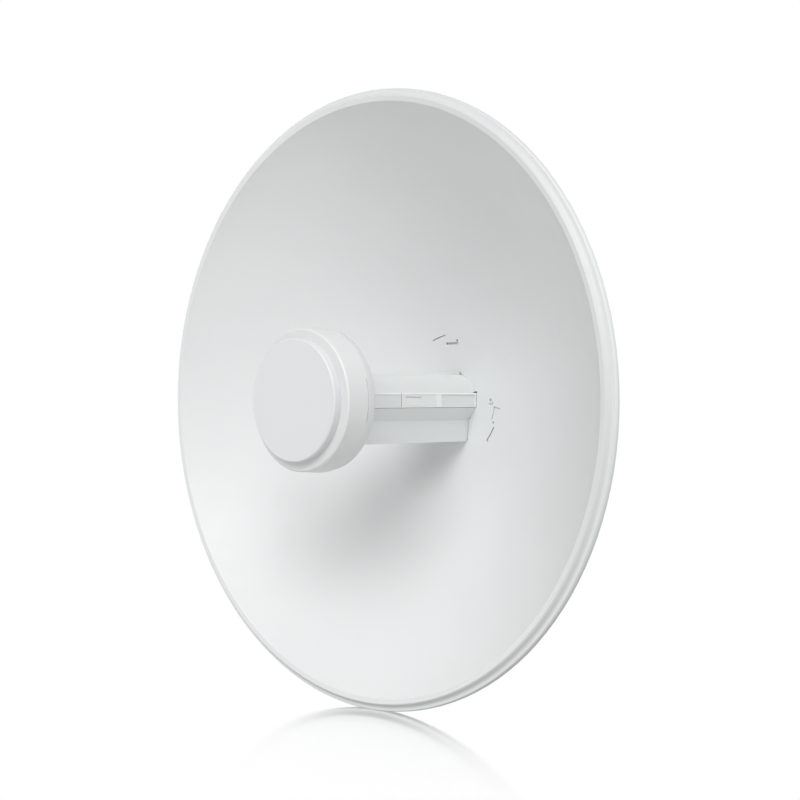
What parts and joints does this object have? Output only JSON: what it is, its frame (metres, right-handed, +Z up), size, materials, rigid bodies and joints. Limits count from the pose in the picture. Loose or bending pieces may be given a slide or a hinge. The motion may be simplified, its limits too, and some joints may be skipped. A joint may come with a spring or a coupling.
{
  "type": "pole-mounted parabolic dish antenna",
  "caption": "Round white dish antenna: pressed steel reflector with a plug-in feed on a neck, a rear housing, a tilting steel bracket and a toothed pole clamp.",
  "frame": {"origin": "centre of the pole bracket's flat rear face, between its jaws", "axes": "+Z up, +Y towards the pole, so the dish looks along -Y"},
  "size_m": [0.42, 0.2838, 0.42],
  "materials": {
    "powder_coat": "white satin powder coat on pressed steel",
    "white_plastic": "fine-grained white moulding",
    "zinc_steel": "zinc plated",
    "rubber": "moulded grey rubber"
  },
  "bodies": {
    "root": {"reflector": "powder_coat", "feed_front_disc": "white_plastic", "feed_drum": "white_plastic", "feed_seam_band": "white_plastic", "feed_rear_cover": "white_plastic", "neck_upper_shell": "white_plastic", "neck_lower_shell": "white_plastic", "neck_front_panel_right": "white_plastic", "neck_front_panel_left": "white_plastic", "neck_latch_panel_right": "white_plastic", "neck_latch_panel_left": "white_plastic", "neck_rear_panel_right": "white_plastic", "neck_rear_panel_left": "white_plastic", "rear_housing": "white_plastic", "release_button": "white_plastic", "port_cover": "white_plastic", "cable_gland": "rubber", "tilt_bracket": "zinc_steel", "pole_bracket": "zinc_steel", "pole_clamp": "zinc_steel", "tilt_pivot_bolt_right": "zinc_steel", "tilt_pivot_bolt_left": "zinc_steel", "tilt_lock_bolt_right": "zinc_steel", "tilt_lock_bolt_left": "zinc_steel", "clamp_bolt_right": "zinc_steel", "clamp_bolt_left": "zinc_steel", "clamp_nut_right": "zinc_steel", "clamp_nut_left": "zinc_steel"}
  },
  "joints": []
}
